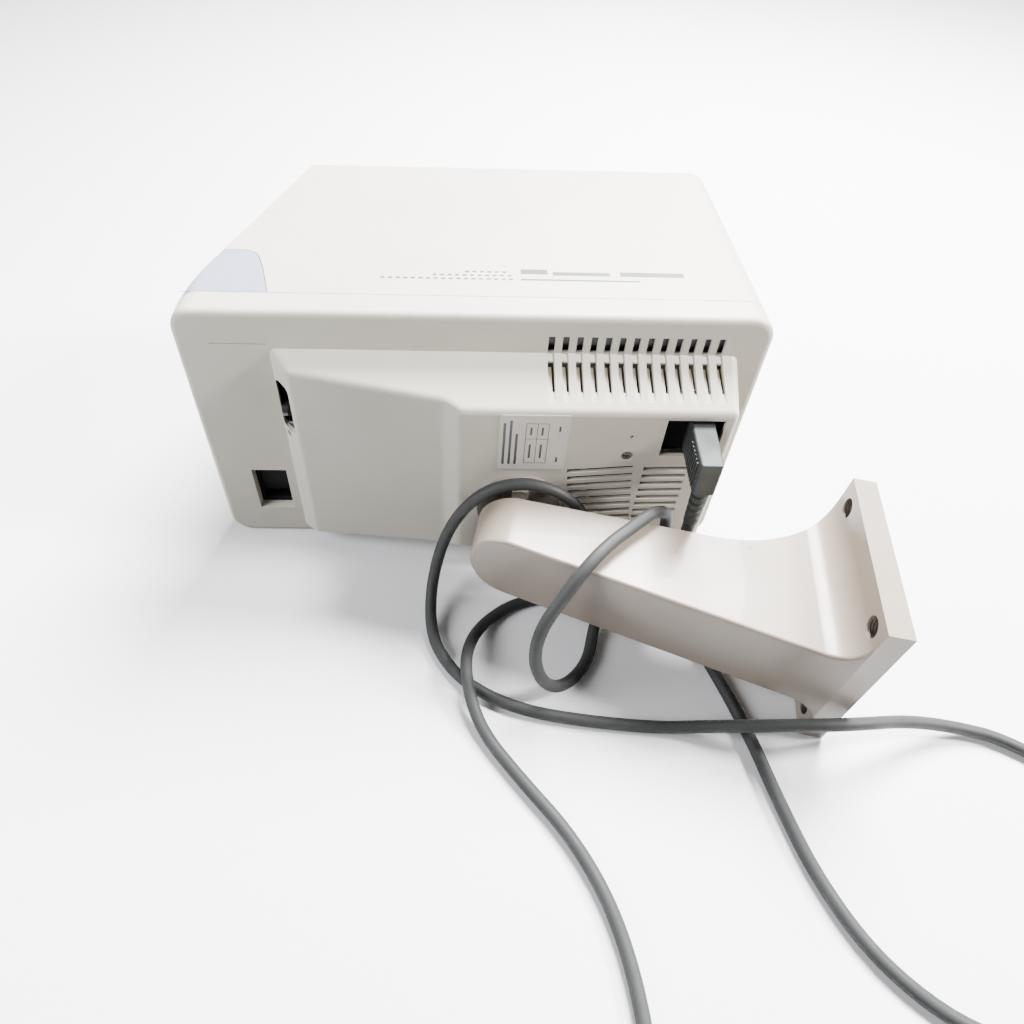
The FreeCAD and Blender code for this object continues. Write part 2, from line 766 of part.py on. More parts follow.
def arm_profile():
    """Outline of the arm seen from its side: straight near face, far face that flares up to the plate."""
    front = dim("arm_length") - dim("plate_thick")
    far, near = dim("arm_far"), dim("arm_near")
    flare_start = 115
    rise = dim("plate_far") - far
    run = front - flare_start
    radius = (run * run + rise * rise) / (2 * rise)
    half = math.atan2(run, radius - rise) / 2
    middle = Vector(flare_start + radius * math.sin(half), far + radius * (1 - math.cos(half)), 0)
    tip = Vector(front, dim("plate_far"), 0)
    foot = Vector(front, dim("plate_near"), 0)
    slope = (near - foot.y) / front
    edges = [
        Part.LineSegment(Vector(-40, far, 0), Vector(flare_start, far, 0)),
        Part.Arc(Vector(flare_start, far, 0), middle, tip),
        Part.LineSegment(tip, tip + X),
        Part.LineSegment(tip + X, foot + X),
        Part.LineSegment(foot + X, foot),
        Part.LineSegment(foot, Vector(-40, near + slope * 40, 0)),
        Part.LineSegment(Vector(-40, near + slope * 40, 0), Vector(-40, far, 0)),
    ]
    return Part.Face(Part.Wire([e.toShape() for e in edges]))


def near_rim(beam, front):
    """The edges round the beam's near face, short of the plate."""
    slant = Vector(dim("plate_near") - dim("arm_near"), -front, 0).normalize()
    near = next(f for f in beam.Faces if f.normalAt(0, 0).dot(slant) > 0.999)
    return [e for e in near.Edges if e.BoundBox.XMin < front - 1]


def make_arm():
    """One casting: rounded pivot end, beam, flare and wall plate. Own frame: origin on the tilt pin."""
    half, front = dim("arm_half"), dim("arm_length") - dim("plate_thick")
    low, high = -100, 60
    round_end = cylinder(half, high - low, Vector(0, low, 0), Y)
    bar = block(Vector(0, low, -half), Vector(front + 1, high, half))
    # coves where the beam's two sides run out into the plate
    cove = 17
    beam = round_end.fuse(bar)
    for side in (-1, 1):
        web = block(
            Vector(front - cove, low, min(side * half, side * (half + cove))),
            Vector(front + 1, high, max(side * half, side * (half + cove))),
        )
        hollow = cylinder(cove, high - low, Vector(front - cove, low, side * (half + cove)), Y)
        beam = beam.fuse(web.cut(hollow))
    profile = arm_profile().extrude(Z * 200)
    profile.translate(Vector(0, 0, -100))
    beam = beam.removeSplitter().common(profile)
    beam = beam.makeFillet(2, near_rim(beam, front))
    tall = dim("plate_half")
    plate = block(Vector(front, dim("plate_near"), -tall), Vector(dim("arm_length"), dim("plate_far"), tall))
    arm = beam.fuse(plate).removeSplitter()
    bore = cylinder(dim("shaft_radius") + dim("running_gap"), 26, Vector(0, dim("arm_far") + 1, 0), -Y)
    tools = [bore, cylinder(2.1, 20, Vector(0, dim("arm_far") - 16, -half - 1), Z)]
    middle = (dim("plate_near") + dim("plate_far")) / 2
    offset = dim("bolt_spacing") / 2
    for sy in (-1, 1):
        for sz in (-1, 1):
            place = Vector(front - 1, middle + sy * offset, sz * offset)
            tools.append(cylinder(dim("bolt_radius"), 30, place, X))
            tools.append(cylinder(dim("counterbore_radius"), dim("counterbore_depth") + 1, place, X))
            # run of the counterbore through the cove, for the screwdriver
            tools.append(cylinder(dim("counterbore_radius"), 18, place - X * 16, X))
    return arm.cut(Part.makeCompound(tools)).removeSplitter()


def make_lock_screw():
    base = Vector(0, dim("arm_far") - 16, -dim("arm_half") + 0.5)
    stem = cylinder(2, dim("arm_half") - 9.5, base, Z)
    sixths = [math.pi * i / 3 for i in range(6)]
    hexagon = [Vector(base.x + 1.2 * math.cos(a), base.y + 1.2 * math.sin(a), base.z) for a in sixths]
    return stem.cut(prism(hexagon, [0] * 6, Z * 2.5))


feature("mount_arm", make_arm(), arm_pose())
feature("arm_lock_screw", make_lock_screw(), arm_pose())

# ---------------------------------------------------------------- mains lead

# Middle line of the lead: from the connector down behind the arm and out under it, round a wide
# loop to the right, back past the wall plate, up and over the swivel's neck, under the arm and
# over it again, down behind it, and on along the table to the coil that holds the rest.
CORD_POINTS = [
    (129.5, -62, 88), (129.5, -62, 66), (130.5, -61.5, 42), (133, -65, 20),
    (140, -82, 5), (153.5, -118, 3.8), (164.5, -160, 3.8), (170.5, -198, 3.8),
    (180, -240, 3.8), (199, -278, 3.8), (233, -306, 3.8), (275, -312, 3.8),
    (316, -294, 3.8), (347, -262, 3.8), (359, -222, 3.8), (347, -184, 3.8),
    (314, -160, 3.8), (291, -154.8, 5.5), (269, -154.8, 12), (246, -158, 20.5),
    (223, -164.5, 31), (200, -167.2, 34), (177, -165, 29), (154, -160.5, 19),
    (132, -156.5, 10), (111, -154.5, 4.5), (71, -150.5, 3.8), (31, -143.5, 3.8),
    (2, -129, 3.8), (-14, -113, 3.8), (-25, -91, 3.8), (-26, -62, 14.5),
    (-19, -48.5, 44), (-8, -44, 69), (8, -43, 88.5), (29, -43.5, 96.5),
    (50, -44.5, 91), (66, -44.5, 76), (79, -45.5, 51), (85, -54, 28),
    (84.5, -72, 13), (79, -90.5, 5.5), (74, -109.5, 3.8), (62.5, -124, 5),
    (50.5, -134, 14), (40.5, -137.5, 29), (35, -133.5, 46.5), (38, -125.5, 63.5),
    (48.5, -116.5, 79), (62.5, -104.5, 94.8), (77, -88.5, 95.2), (92, -75, 93.5),
    (105, -64, 93.6), (117, -54.5, 84), (121, -51, 66), (120, -49, 44),
    (115, -51, 22), (103, -58, 7), (69, -60, 3.8), (33, -63, 3.8),
    (8, -82, 4.6), (-2.5, -107, 13.4), (-2.5, -130, 13.4), (6, -156, 4.4),
    (28, -185, 3.8), (54, -216, 3.8), (72, -252, 3.8), (80, -294, 3.8),
    (79, -345, 3.8),
]
TAIL_POINTS = [(122, -403, 20.6), (140, -403, 19.4), (158, -403, 13.8), (175, -403, 12)]


def tube(label, points):
    """A round lead of straight runs and tangent arcs, and a note of its bends, length and volume."""
    points = [Vector(*p) for p in points]
    edges, radii = [], []
    start = points[0]
    for before, corner, after in zip(points, points[1:], points[2:]):
        back, ahead = before - corner, after - corner
        reach = 0.45 * min(back.Length, ahead.Length)
        back.normalize()
        ahead.normalize()
        half_turn = (math.pi - back.getAngle(ahead)) / 2
        radius = reach / math.tan(half_turn)
        middle = corner + (back + ahead).normalize() * (radius / math.cos(half_turn) - radius)
        edges.append(Part.LineSegment(start, corner + back * reach))
        edges.append(Part.Arc(corner + back * reach, middle, corner + ahead * reach))
        start = corner + ahead * reach
        radii.append(round(radius, 1))
    edges.append(Part.LineSegment(start, points[-1]))
    path = Part.Wire([e.toShape() for e in edges])
    ring = Part.Wire(Part.makeCircle(dim("cord_radius"), points[0], points[1] - points[0]))
    solid = path.makePipeShell([ring], True, True)
    expected = math.pi * dim("cord_radius") ** 2 * path.Length
    print(f"{label}: radii {radii}")
    print(f"{label}: length {path.Length:.1f}, volume {solid.Volume:.0f} of {expected:.0f}")
    return solid


def make_coil():
    """The spare lead, as one closed ring of its bundle."""
    middle = Vector(dim("coil_x"), dim("coil_y"), dim("tie_thick"))
    radius, height = dim("coil_radius"), dim("coil_height")
    ring = cylinder(radius + 4, height, middle, Z).cut(cylinder(radius - 4, height, middle, Z))
    return ring.makeFillet(2.5, [e for e in ring.Edges if len(e.Vertexes) == 1])


def make_tie(coil):
    """Strap round the bundle, on the side towards the object."""
    thick = dim("tie_thick")
    middle = Vector(dim("coil_x"), dim("coil_y") + dim("coil_radius"), 0)
    reach = Vector(5, 4 + thick + 0.4, 0)
    strap = block(middle - reach, middle + reach + Z * (dim("coil_height") + 2 * thick))
    return strap.cut(coil)


def make_connector():
    """Right-angled appliance connector: slim grip, nose in the inlet, ribs on the side that is pulled."""
    x, z = dim("connector_x"), dim("connector_z")
    low, high, near, far = z - 10.8, z + 11.4, -67.5, -27.3
    outline = [(x - 7.2, near), (x + 5.4, near), (x + 8.6, far), (x - 5.2, far)]
    grip = prism([Vector(px, py, low) for px, py in outline], [2, 2, 1, 1], Z * (high - low))
    rims = [e for e in grip.Edges if e.BoundBox.ZMin > high - 0.001]
    grip = grip.makeFillet(1.2, rims)
    nose = block(Vector(x - 5.3, -27.5, z - 10.8), Vector(x + 8.3, -12, z + 10.8))
    ribs = []
    for i in range(6):
        y = -62 + 3.4 * i
        left = x - 7.2 + 2 * (y - near) / (far - near)
        ribs.append(block(Vector(left - 0.8, y, z - 9), Vector(left + 1, y + 1.7, z + 8)))
    solid = grip.fuse([nose] + ribs)
    return solid.cut(Part.makeCompound(contacts(0.2, 11.5))).removeSplitter()


def make_relief(base, radius_1, radius_2, length, axis):
    """Tapered sleeve with ring grooves where a lead leaves its plug."""
    sleeve = Part.makeCone(radius_1, radius_2, length, base, axis)
    count = max(1, int(length // 4))
    for i in range(count):
        place = base + axis * (length * (i + 0.5) / count - 0.5)
        outer = max(radius_1, radius_2)
        groove = cylinder(outer + 1, 1, place, axis).cut(cylinder(dim("cord_radius") + 0.1, 1, place, axis))
        sleeve = sleeve.cut(groove)
    return sleeve


def make_mains_plug():
    x, z, y = dim("mains_plug_x"), dim("mains_plug_z"), dim("tail_y")
    corners = [Vector(x, y + dy, z + dz) for dy, dz in ((-14, -12), (14, -12), (14, 12), (-14, 12))]
    grip = prism(corners, [6] * 4, X * 35)
    return grip.makeFillet(3, [e for e in grip.Edges if e.BoundBox.XMax < x + 0.01])


def make_blades():
    x, z, y = dim("mains_plug_x") + 35, dim("mains_plug_z"), dim("tail_y")
    pins = [cylinder(2.4, 20, Vector(x, y, z + 7.5), X)]
    for middle in (y - 6.35, y + 6.35):
        pins.append(block(Vector(x, middle - 0.75, z - 7.2), Vector(x + 17, middle + 0.75, z - 0.8)))
    return Part.makeCompound(pins)


coil = make_coil()
feature("iec_connector", make_connector())
relief = make_relief(Vector(*CORD_POINTS[0]), 4.4, 5.4, dim("connector_z") - 10.8 - CORD_POINTS[0][2], Z)
feature("connector_relief", relief)
feature("power_cord", tube("power_cord", CORD_POINTS).cut(coil).cut(relief))
feature("cord_coil", coil)
feature("coil_tie", make_tie(coil))
relief_base = Vector(175, dim("tail_y"), dim("mains_plug_z"))
relief = make_relief(relief_base, 4.2, 7, dim("mains_plug_x") - 175, X)
feature("mains_plug_relief", relief)
feature("cord_tail", tube("cord_tail", TAIL_POINTS).cut(coil).cut(relief))
feature("mains_plug", make_mains_plug())
feature("plug_blades", make_blades())

# ---------------------------------------------------------------- write the files

doc.recompute()
os.makedirs("parts", exist_ok=True)
faults = [o.Name for o in doc.Objects if "Invalid" in o.State or "Error" in o.State]
faults += [p.Label for p in parts if p.Shape.isNull() or not p.Shape.isValid()]
if faults:
    raise RuntimeError(f"failed: {faults}")
for part in parts:
    part.Shape.exportStep(f"parts/{part.Label}.step")
    print(f"{part.Label:20s} solids {len(part.Shape.Solids)} volume {part.Shape.Volume / 1000:9.2f} cm3")
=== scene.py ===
import bmesh
import bpy
import json
import math

from mathutils import Matrix, Vector


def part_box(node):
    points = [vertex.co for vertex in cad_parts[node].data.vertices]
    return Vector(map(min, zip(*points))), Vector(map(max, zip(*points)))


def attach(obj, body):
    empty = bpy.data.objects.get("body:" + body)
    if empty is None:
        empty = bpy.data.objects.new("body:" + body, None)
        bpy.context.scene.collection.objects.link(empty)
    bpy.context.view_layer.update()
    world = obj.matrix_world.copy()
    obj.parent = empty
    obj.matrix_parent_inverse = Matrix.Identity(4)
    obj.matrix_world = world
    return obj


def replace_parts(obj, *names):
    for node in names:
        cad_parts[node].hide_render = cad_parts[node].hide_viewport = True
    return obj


# Eye-test chart projector lying on its side, its wall arm towards the camera, and its mains lead.
# Lengths are metres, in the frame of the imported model: +Z up, the table at 0.

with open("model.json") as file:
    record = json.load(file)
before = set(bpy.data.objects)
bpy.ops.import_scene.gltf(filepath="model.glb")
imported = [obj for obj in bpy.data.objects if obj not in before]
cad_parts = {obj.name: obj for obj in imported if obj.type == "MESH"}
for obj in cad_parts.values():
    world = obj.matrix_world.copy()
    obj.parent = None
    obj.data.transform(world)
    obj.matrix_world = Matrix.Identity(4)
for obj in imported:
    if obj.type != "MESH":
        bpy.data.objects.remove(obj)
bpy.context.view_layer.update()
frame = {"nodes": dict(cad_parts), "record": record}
nodes = frame["nodes"]

# Points below are given from the middle of the body's length and from its underside's rim.
WORK_ORIGIN = Vector((-0.03287, -0.01755, 0))
MM = 0.001


def at(x, y, z):
    """A point in millimetres from mid length, the underside and the table, as a place in the frame."""
    return Vector((x, y, z)) * MM + WORK_ORIGIN


def add(name, data):
    piece = bpy.data.objects.new(name, data)
    bpy.context.scene.collection.objects.link(piece)
    return piece


# ---------------------------------------------------------------- camera


def make_camera():
    data = bpy.data.cameras.new("camera")
    data.sensor_width = 36
    data.lens = 26.09
    data.shift_x = 0.0328
    data.clip_start = 0.02
    camera = add("camera", data)
    heading = Matrix.Rotation(math.radians(-2.28), 4, "Z")
    pitch = Matrix.Rotation(math.radians(90 - 47.73), 4, "X")
    roll = Matrix.Rotation(0.04, 4, "Z")
    camera.matrix_world = Matrix.Translation(at(-8.14, -353.14, 410.54)) @ heading @ pitch @ roll
    bpy.context.scene.camera = camera


make_camera()

# ---------------------------------------------------------------- materials


def new_material(name, colour, roughness, **sockets):
    """A material with its main shader set; sockets are the shader's own, with _ for a space."""
    material = bpy.data.materials.new(name)
    material.use_nodes = True
    shader = material.node_tree.nodes["Principled BSDF"]
    shader.inputs["Base Color"].default_value = (*colour, 1)
    shader.inputs["Roughness"].default_value = roughness
    for socket, value in sockets.items():
        shader.inputs[socket.replace("_", " ")].default_value = value
    return material


def noise(material, size, detail=3, stretch=(1, 1, 1), kind="ShaderNodeTexNoise"):
    """A pattern whose features are about size metres across."""
    tree = material.node_tree
    coords = tree.nodes.new("ShaderNodeTexCoord")
    mapping = tree.nodes.new("ShaderNodeMapping")
    mapping.inputs["Scale"].default_value = stretch
    texture = tree.nodes.new(kind)
    texture.inputs["Scale"].default_value = 1 / size
    if "Detail" in texture.inputs:
        texture.inputs["Detail"].default_value = detail
    tree.links.new(coords.outputs["Object"], mapping.inputs["Vector"])
    tree.links.new(mapping.outputs["Vector"], texture.inputs["Vector"])
    return texture.outputs[0]


def spread(material, value, start, stop, low, high):
    """A pattern's values from start to stop, spread over low to high."""
    node = material.node_tree.nodes.new("ShaderNodeMapRange")
    node.inputs["From Min"].default_value = start
    node.inputs["From Max"].default_value = stop
    node.inputs["To Min"].default_value = low
    node.inputs["To Max"].default_value = high
    material.node_tree.links.new(value, node.inputs["Value"])
    return node.outputs["Result"]


def tint(material, factor, colour):
    """Mix a colour over what the shader's base colour has so far."""
    tree = material.node_tree
    base = tree.nodes["Principled BSDF"].inputs["Base Color"]
    mix = tree.nodes.new("ShaderNodeMix")
    mix.data_type = "RGBA"
    under, over = mix.inputs[6], mix.inputs[7]
    if base.is_linked:
        tree.links.new(base.links[0].from_socket, under)
    else:
        under.default_value = base.default_value
    over.default_value = (*colour, 1)
    tree.links.new(factor, mix.inputs["Factor"])
    tree.links.new(mix.outputs[2], base)


def drive(material, socket, value):
    shader = material.node_tree.nodes["Principled BSDF"]
    material.node_tree.links.new(value, shader.inputs[socket])


def relief(material, height, strength, depth):
    """Raise the surface by a pattern, over whatever raises it already."""
    tree = material.node_tree
    normal = tree.nodes["Principled BSDF"].inputs["Normal"]
    bump = tree.nodes.new("ShaderNodeBump")
    bump.inputs["Strength"].default_value = strength
    bump.inputs["Distance"].default_value = depth
    if normal.is_linked:
        tree.links.new(normal.links[0].from_socket, bump.inputs["Normal"])
    tree.links.new(height, bump.inputs["Height"])
    tree.links.new(bump.outputs["Normal"], normal)


def shade(colour, amount):
    return tuple(min(1, c * amount) for c in colour)


def moulding(name, colour, roughness, grain=0.0007, mottle=0.94, dirt=0.35, **sockets):
    """Moulded plastic: spark-eroded grain, slow changes of tone, faint smudges and handling marks."""
    material = new_material(name, colour, roughness, **sockets)
    tint(material, spread(material, noise(material, 0.12, 2), 0.35, 0.7, 0, 1), shade(colour, mottle))
    smudge = spread(material, noise(material, 0.03, 6), 0.56, 0.78, 0, dirt)
    tint(material, smudge, shade(colour, 0.82))
    speck = spread(material, noise(material, 0.0035, 2), 0.74, 0.8, 0, dirt)
    tint(material, speck, shade(colour, 0.55))
    gloss = spread(material, noise(material, 0.05, 5), 0.3, 0.7, roughness - 0.06, roughness + 0.08)
    drive(material, "Roughness", gloss)
    relief(material, noise(material, grain, 2), 0.22, grain * 0.3)
    relief(material, noise(material, 0.02, 2, (1, 8, 8)), 0.05, 0.0004)
    return material


def enamel(name, colour, roughness, chips=0.5, **sockets):
    """Stoved enamel on a casting: orange peel, a clear top, rubbed patches and a few chips."""
    material = new_material(name, colour, roughness, **sockets)
    tint(material, spread(material, noise(material, 0.09, 3), 0.35, 0.7, 0, 1), shade(colour, 0.95))
    rub = spread(material, noise(material, 0.018, 6, (1, 1, 3)), 0.6, 0.8, 0, 0.3)
    tint(material, rub, shade(colour, 0.84))
    chip = spread(material, noise(material, 0.006, 1), 0.79, 0.81, 0, chips)
    tint(material, chip, (0.10, 0.09, 0.085))
    gloss = spread(material, noise(material, 0.04, 4), 0.3, 0.7, roughness - 0.07, roughness + 0.09)
    drive(material, "Roughness", gloss)
    relief(material, noise(material, 0.0022, 2), 0.16, 0.0003)
    relief(material, chip, -0.3, 0.0002)
    return material


def vinyl(name, colour, roughness, **sockets):
    """Soft extruded vinyl: matt skin, dust in its pores, and scuffs where it was dragged."""
    material = new_material(name, colour, roughness, **sockets)
    tint(material, spread(material, noise(material, 0.06, 3), 0.35, 0.7, 0, 1), shade(colour, 0.85))
    scuff = spread(material, noise(material, 0.012, 6), 0.58, 0.8, 0, 0.35)
    tint(material, scuff, shade(colour, 1.5))
    dust = spread(material, noise(material, 0.0015, 2), 0.7, 0.78, 0, 0.3)
    tint(material, dust, shade(colour, 1.9))
    gloss = spread(material, noise(material, 0.02, 4), 0.3, 0.7, roughness - 0.08, roughness + 0.1)
    drive(material, "Roughness", gloss)
    relief(material, noise(material, 0.0009, 3), 0.2, 0.0002)
    return material


def metal(name, colour, roughness, stretch=(1, 1, 12), **sockets):
    """Bare metal with fine working marks along one way and a slight film of oxide."""
    material = new_material(name, colour, roughness, Metallic=1.0, **sockets)
    tint(material, spread(material, noise(material, 0.01, 5), 0.4, 0.75, 0, 0.6), shade(colour, 0.7))
    marks = noise(material, 0.006, 4, stretch)
    gloss = spread(material, marks, 0.3, 0.7, roughness - 0.1, roughness + 0.12)
    drive(material, "Roughness", gloss)
    relief(material, noise(material, 0.0012, 3, stretch), 0.15, 0.0001)
    return material


def clear(name, colour, roughness, **sockets):
    """Glass or clear plastic, with a breath of haze and dust."""
    material = new_material(name, colour, roughness, Transmission_Weight=0.9, IOR=1.5, **sockets)
    tint(material, spread(material, noise(material, 0.01, 5), 0.6, 0.85, 0, 0.3), shade(colour, 0.85))
    gloss = spread(material, noise(material, 0.015, 4), 0.4, 0.8, roughness, roughness + 0.1)
    drive(material, "Roughness", gloss)
    return material


def circuit(name):
    """Green board with paler tracks under its lacquer."""
    material = new_material(name, (0.03, 0.14, 0.06), 0.35)
    cells = noise(material, 0.006, kind="ShaderNodeTexVoronoi")
    tint(material, spread(material, cells, 0.32, 0.36, 0, 0.5), (0.09, 0.28, 0.12))
    tint(material, spread(material, noise(material, 0.004, 1), 0.68, 0.7, 0, 0.8), (0.6, 0.55, 0.42))
    relief(material, cells, 0.3, 0.0003)
    return material


CASE = (0.57, 0.54, 0.465)
MATERIALS = {
    "case": moulding("case_plastic", CASE, 0.48),
    "fascia": moulding("fascia_plastic", (0.30, 0.32, 0.41), 0.3, grain=0.0012, Coat_Weight=0.15),
    "window": clear("window_pane", (0.42, 0.5, 0.55), 0.03),
    "label": moulding("label_foil", (0.66, 0.64, 0.58), 0.34, grain=0.002, dirt=0.2),
    "screw": metal("screw_steel", (0.2, 0.19, 0.17), 0.45),
    # painted shade: the chassis sheet is much darker than its plated steel, so the inside seen through the
    # vents reads dark
    "chassis": metal("chassis_steel_darkened_as_shade", (0.16, 0.16, 0.165), 0.6, stretch=(12, 1, 1)),
    "lamp_metal": metal("lamp_house_sheet", (0.62, 0.62, 0.62), 0.42, stretch=(10, 1, 1)),
    "bulb": clear("lamp_quartz", (0.9, 0.9, 0.88), 0.02),
    "ceramic": moulding("socket_ceramic", (0.72, 0.69, 0.6), 0.4, grain=0.0004),
    "filter": clear("heat_filter_glass", (0.45, 0.7, 0.66), 0.03),
    "reflector": metal("reflector_mirror", (0.85, 0.86, 0.88), 0.14),
    "optics": clear("lens_glass", (0.75, 0.82, 0.85), 0.02),
    "disc": moulding("disc_black", (0.02, 0.02, 0.022), 0.6),
    "shaft": metal("shaft_steel", (0.55, 0.55, 0.54), 0.28, stretch=(1, 10, 10)),
    "motor": enamel("motor_enamel", (0.045, 0.045, 0.05), 0.4, chips=0.2),
    "black_tube": enamel("tube_black", (0.02, 0.02, 0.022), 0.5, chips=0.2),
    "lever": moulding("lever_plastic", (0.022, 0.02, 0.018), 0.35, grain=0.001),
    "black_plastic": moulding("black_plastic", (0.006, 0.006, 0.007), 0.8, Specular_IOR_Level=0.1),
    "copper": metal("transformer_core", (0.4, 0.3, 0.22), 0.5, stretch=(1, 1, 25)),
    "board": circuit("circuit_board"),
    "rocker": moulding(
        "rocker_plastic", (0.008, 0.008, 0.009), 0.7, grain=0.0015, Specular_IOR_Level=0.1
    ),
    "swivel": enamel("swivel_enamel", (0.2, 0.18, 0.155), 0.4),
    "steel": metal("turned_steel", (0.5, 0.5, 0.49), 0.3, stretch=(1, 12, 1)),
    "arm": enamel("arm_enamel", (0.27, 0.222, 0.18), 0.36, Coat_Weight=0.12),
    "cord": vinyl("cord_vinyl", (0.032, 0.034, 0.034), 0.6, Specular_IOR_Level=0.3),
    "plug": vinyl("plug_vinyl", (0.026, 0.03, 0.029), 0.55, Specular_IOR_Level=0.35),
    "blade": metal("contact_brass", (0.62, 0.5, 0.24), 0.28),
    "tie": vinyl("tie_vinyl", (0.02, 0.02, 0.021), 0.5),
    # print ink, also used for the painted shadow strip in the cap's joint
    "ink_and_painted_shadow": moulding("print_ink_and_painted_shadow", (0.06, 0.062, 0.07), 0.4, dirt=0.1),
    "green_ink": moulding("green_ink", (0.01, 0.22, 0.09), 0.35, dirt=0.1),
    "thread": metal("thread_grime", (0.12, 0.105, 0.09), 0.55, stretch=(6, 1, 1)),
}


def finish_piece(piece, slot, body):
    """A new piece's material, its slot in the record, and the body it rides on."""
    piece.data.materials.clear()
    piece.data.materials.append(MATERIALS[slot])
    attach(piece, body)
    return piece


# ---------------------------------------------------------------- mains lead

LEAD_DIAMETER = 7.5 * MM
LEAD_ROUTE = [
    (0.1295, -0.062, 0.088), (0.1295, -0.062, 0.066), (0.1305, -0.0615, 0.042), (0.133, -0.065, 0.02),
    (0.14, -0.082, 0.005), (0.1535, -0.118, 0.0038), (0.1645, -0.16, 0.0038), (0.1705, -0.198, 0.0038),
    (0.18, -0.24, 0.0038), (0.199, -0.278, 0.0038), (0.233, -0.306, 0.0038), (0.275, -0.312, 0.0038),
    (0.316, -0.294, 0.0038), (0.347, -0.262, 0.0038), (0.359, -0.222, 0.0038), (0.347, -0.184, 0.0038),
    (0.314, -0.16, 0.0038), (0.291, -0.1548, 0.0055), (0.269, -0.1548, 0.012), (0.246, -0.158, 0.0205),
    (0.223, -0.1645, 0.031), (0.2, -0.1672, 0.034), (0.177, -0.165, 0.029), (0.154, -0.1605, 0.019),
    (0.132, -0.1565, 0.01), (0.111, -0.1545, 0.0045), (0.071, -0.1505, 0.0038), (0.031, -0.1435, 0.0038),
    (0.002, -0.129, 0.0038), (-0.014, -0.113, 0.0038), (-0.025, -0.091, 0.0038), (-0.026, -0.062, 0.0145),
    (-0.019, -0.0485, 0.044), (-0.008, -0.044, 0.069), (0.008, -0.043, 0.0885), (0.029, -0.0435, 0.0965),
    (0.05, -0.0445, 0.091), (0.066, -0.0445, 0.076), (0.079, -0.0455, 0.051), (0.085, -0.054, 0.028),
    (0.0845, -0.072, 0.013), (0.079, -0.0905, 0.0055), (0.074, -0.1095, 0.0038), (0.0625, -0.124, 0.005),
    (0.0505, -0.134, 0.014), (0.0405, -0.1375, 0.029), (0.035, -0.1335, 0.0465), (0.038, -0.1255, 0.0635),
    (0.0485, -0.1165, 0.079), (0.0625, -0.1045, 0.0948), (0.077, -0.0885, 0.0952), (0.092, -0.075, 0.0935),
    (0.105, -0.064, 0.0936), (0.117, -0.0545, 0.084), (0.121, -0.051, 0.066), (0.12, -0.049, 0.044),
    (0.115, -0.051, 0.022), (0.103, -0.058, 0.007), (0.069, -0.06, 0.0038), (0.033, -0.063, 0.0038),
    (0.008, -0.082, 0.0046), (-0.0025, -0.107, 0.0134), (-0.0025, -0.13, 0.0134), (0.006, -0.156, 0.0044),
    (0.028, -0.185, 0.0038), (0.054, -0.216, 0.0038), (0.072, -0.252, 0.0038), (0.08, -0.294, 0.0038),
    (0.079, -0.345, 0.0038),
]
LEAD_TAIL = [
    (0.131, -0.403, 0.0213), (0.141, -0.403, 0.0194), (0.153, -0.403, 0.015),
    (0.165, -0.403, 0.0125), (0.175, -0.403, 0.012),
]
COIL_TURNS = 2.25
COIL_STEPS = 16
COIL_PITCH = 7.75 * MM
# spacing of the rings that the strain reliefs are made of
SLEEVE_STEP = 0.4 * MM


def coil_points():
    """Turns of the coil, upwards and anticlockwise from the side where the lead comes in."""
    low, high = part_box("cord_coil")
    middle = (low + high) / 2
    radius = (high.x - low.x - LEAD_DIAMETER) / 2
    points = []
    for step in range(int(COIL_TURNS * COIL_STEPS) + 1):
        turn = math.pi + 2 * math.pi * step / COIL_STEPS
        height = LEAD_DIAMETER / 2 + COIL_PITCH * step / COIL_STEPS
        across, deep = radius * math.cos(turn), radius * math.sin(turn)
        points.append(Vector((middle.x + across, middle.y + deep, height)))
    return points


def make_lead():
    data = bpy.data.curves.new("mains_lead", "CURVE")
    data.dimensions = "3D"
    data.resolution_u = 10
    spline = data.splines.new("NURBS")
    points = [Vector(p) + WORK_ORIGIN for p in LEAD_ROUTE]
    points += coil_points() + [Vector(p) + WORK_ORIGIN for p in LEAD_TAIL]
    spline.points.add(len(points) - 1)
    for slot, point in zip(spline.points, points):
        slot.co = (*point, 1)
    spline.order_u = 3
    spline.use_endpoint_u = True
    return add("mains_lead", data)


def centreline(curve):
    """The points that a curve without thickness follows, in order."""
    mesh = bpy.data.meshes.new_from_object(curve)
    points = [v.co.copy() for v in mesh.vertices]
    bpy.data.meshes.remove(mesh)
    return points


def stretch_of(points, length, step=SLEEVE_STEP):
    """The first length of a line, in even steps."""
    line, gone, due = [points[0]], 0, step
    for start, end in zip(points, points[1:]):
        run = (end - start).length
        while run and gone + run >= due:
            if due > length:
                return line
            line.append(start.lerp(end, (due - gone) / run))
            due += step
        gone += run
    return line


